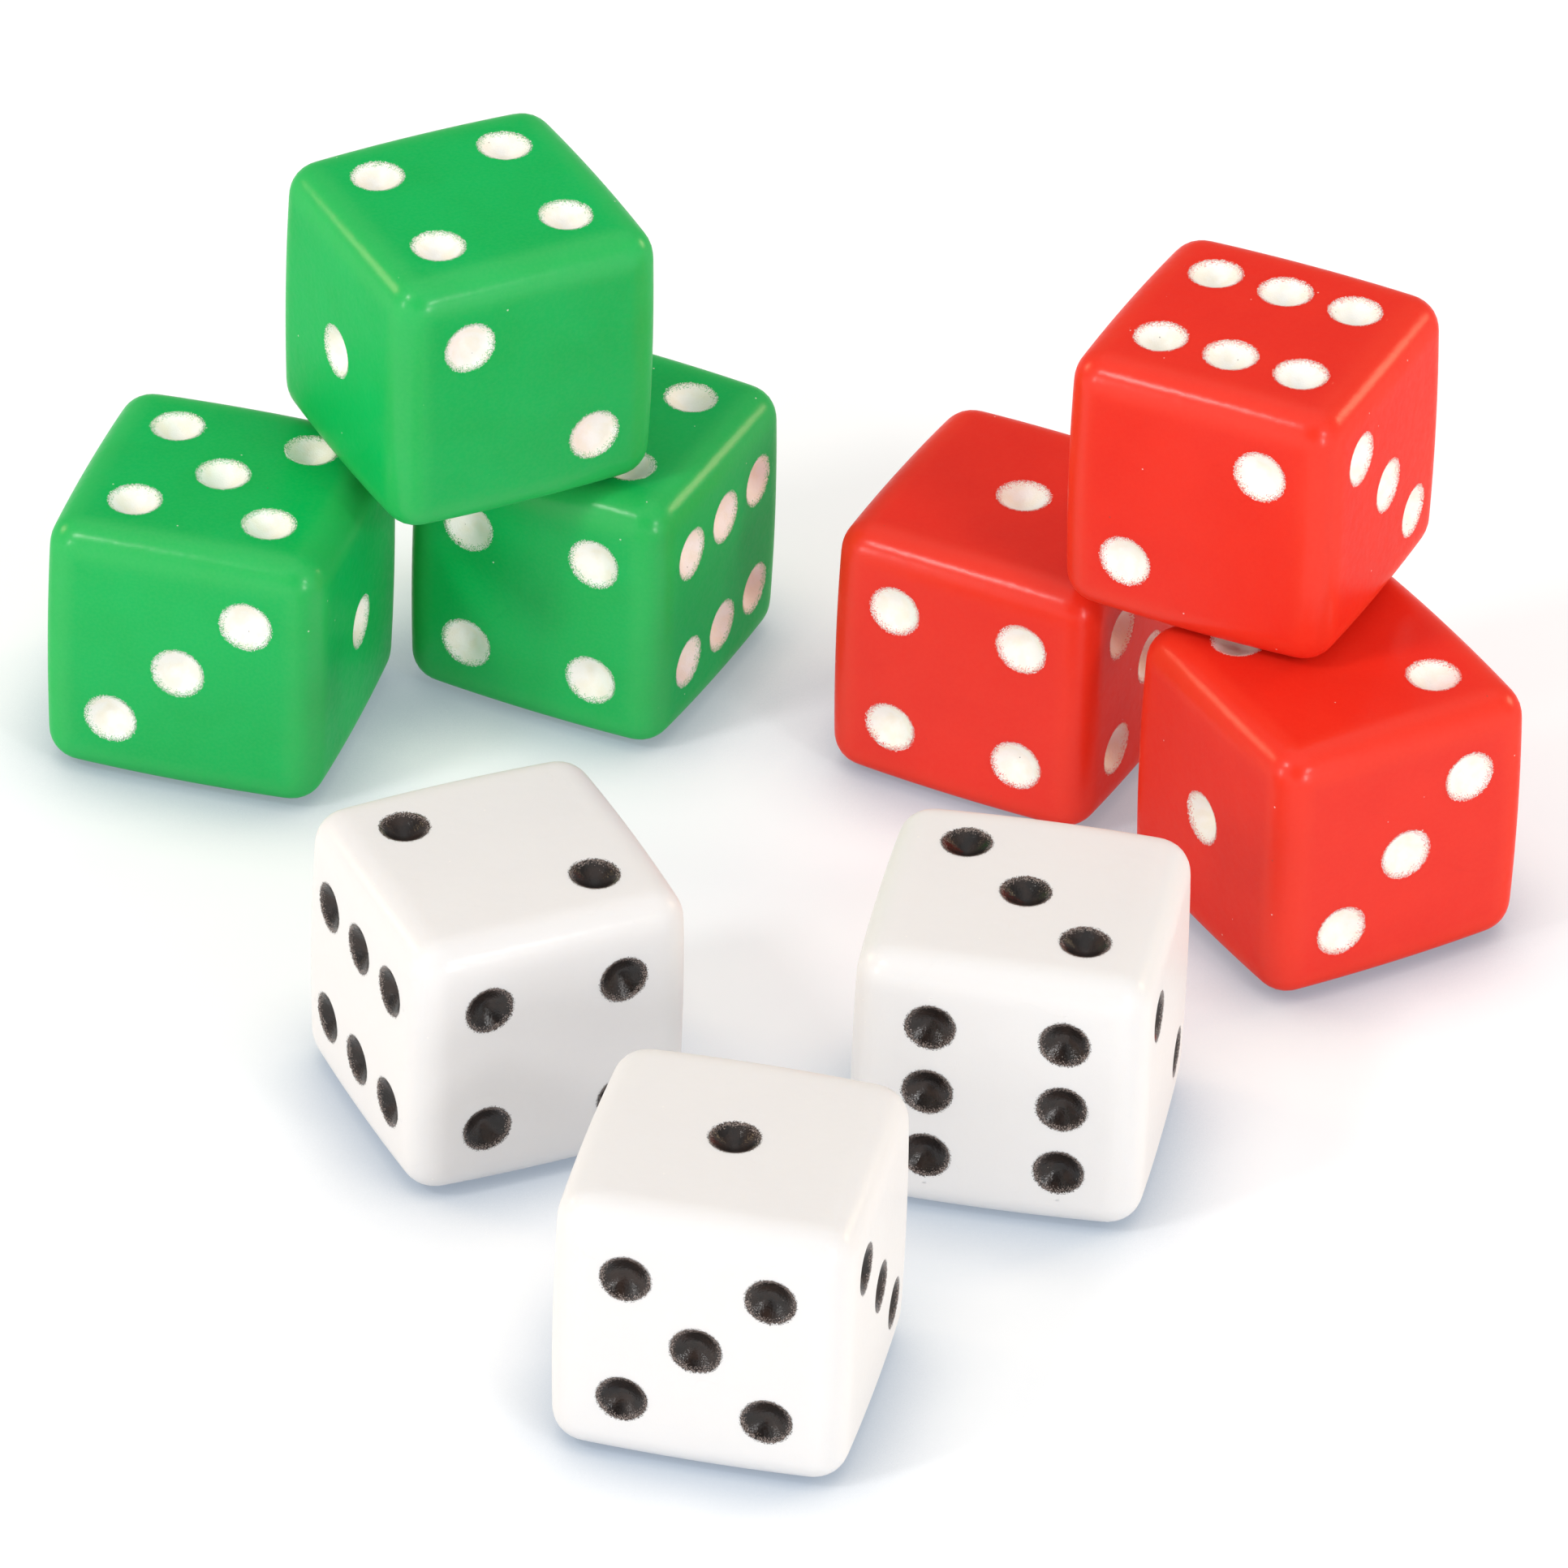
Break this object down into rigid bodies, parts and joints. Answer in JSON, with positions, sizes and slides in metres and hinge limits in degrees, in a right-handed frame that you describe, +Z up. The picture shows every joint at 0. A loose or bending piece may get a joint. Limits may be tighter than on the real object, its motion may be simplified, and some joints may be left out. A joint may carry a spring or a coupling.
{
  "type": "pipped dice set",
  "caption": "Small moulded plastic cubes in green, red and white, with rounded edges and drilled, painted pips, partly stacked, for board and counting games.",
  "frame": {"origin": "middle of the set on the surface that it stands on: the bottom centre of the bounding box", "axes": "+Z up, +X to the right and +Y away from the viewer, with the front white die nearest"},
  "size_m": [0.0804, 0.0866, 0.0321],
  "materials": {
    "green_plastic": "satin gloss, slightly translucent, tumbled",
    "red_plastic": "satin gloss, slightly translucent, tumbled",
    "white_plastic": "satin gloss, slightly translucent, tumbled",
    "white_paint": "sprayed paint left in the pips, grainy at the rim",
    "black_paint": "glossy paint left in the pips, grainy at the rim"
  },
  "bodies": {
    "green_left": {"green_left_die": "green_plastic", "green_left_paint_1_6": "white_paint", "green_left_paint_2_5": "white_paint", "green_left_paint_3_4": "white_paint"},
    "green_right": {"green_right_die": "green_plastic", "green_right_paint_1_6": "white_paint", "green_right_paint_2_5": "white_paint", "green_right_paint_3_4": "white_paint"},
    "green_top": {"green_top_die": "green_plastic", "green_top_paint_1_6": "white_paint", "green_top_paint_2_5": "white_paint", "green_top_paint_3_4": "white_paint"},
    "red_left": {"red_left_die": "red_plastic", "red_left_paint_1_6": "white_paint", "red_left_paint_2_5": "white_paint", "red_left_paint_3_4": "white_paint"},
    "red_right": {"red_right_die": "red_plastic", "red_right_paint_1_6": "white_paint", "red_right_paint_2_5": "white_paint", "red_right_paint_3_4": "white_paint"},
    "red_top": {"red_top_die": "red_plastic", "red_top_paint_1_6": "white_paint", "red_top_paint_2_5": "white_paint", "red_top_paint_3_4": "white_paint"},
    "white_left": {"white_left_die": "white_plastic", "white_left_paint_1_6": "black_paint", "white_left_paint_2_5": "black_paint", "white_left_paint_3_4": "black_paint"},
    "white_right": {"white_right_die": "white_plastic", "white_right_paint_1_6": "black_paint", "white_right_paint_2_5": "black_paint", "white_right_paint_3_4": "black_paint"},
    "white_front": {"white_front_die": "white_plastic", "white_front_paint_1_6": "black_paint", "white_front_paint_2_5": "black_paint", "white_front_paint_3_4": "black_paint"}
  },
  "joints": [
    {"name": "green_top_lift", "type": "slide", "parent": "green_right", "child": "green_top", "axis": [0, 0, 1], "range_m": [0, 0.022]},
    {"name": "red_top_lift", "type": "slide", "parent": "green_right", "child": "red_top", "axis": [0, 0, 1], "range_m": [0, 0.022]},
    {"name": "green_left_slide", "type": "slide", "parent": "green_right", "child": "green_left", "axis": [-1, 0, 0], "range_m": [0, 0.022]},
    {"name": "red_left_slide", "type": "slide", "parent": "green_right", "child": "red_left", "axis": [0, 1, 0], "range_m": [0, 0.03]},
    {"name": "red_right_slide", "type": "slide", "parent": "green_right", "child": "red_right", "axis": [1, 0, 0], "range_m": [0, 0.022]},
    {"name": "white_left_roll", "type": "hinge", "parent": "green_right", "child": "white_left", "pos_m": [-0.02018, -0.01172, 0.0017], "axis": [0.4226, -0.9063, 0], "range_deg": [0, 90]},
    {"name": "white_right_roll", "type": "hinge", "parent": "green_right", "child": "white_right", "pos_m": [0.01954, -0.01219, 0.0017], "axis": [0.1633, 0.9866, 0], "range_deg": [0, 90]},
    {"name": "white_front_roll", "type": "hinge", "parent": "green_right", "child": "white_front", "pos_m": [-0.00275, -0.04033, 0.0017], "axis": [0.9792, -0.2028, 0], "range_deg": [0, 90]}
  ]
}
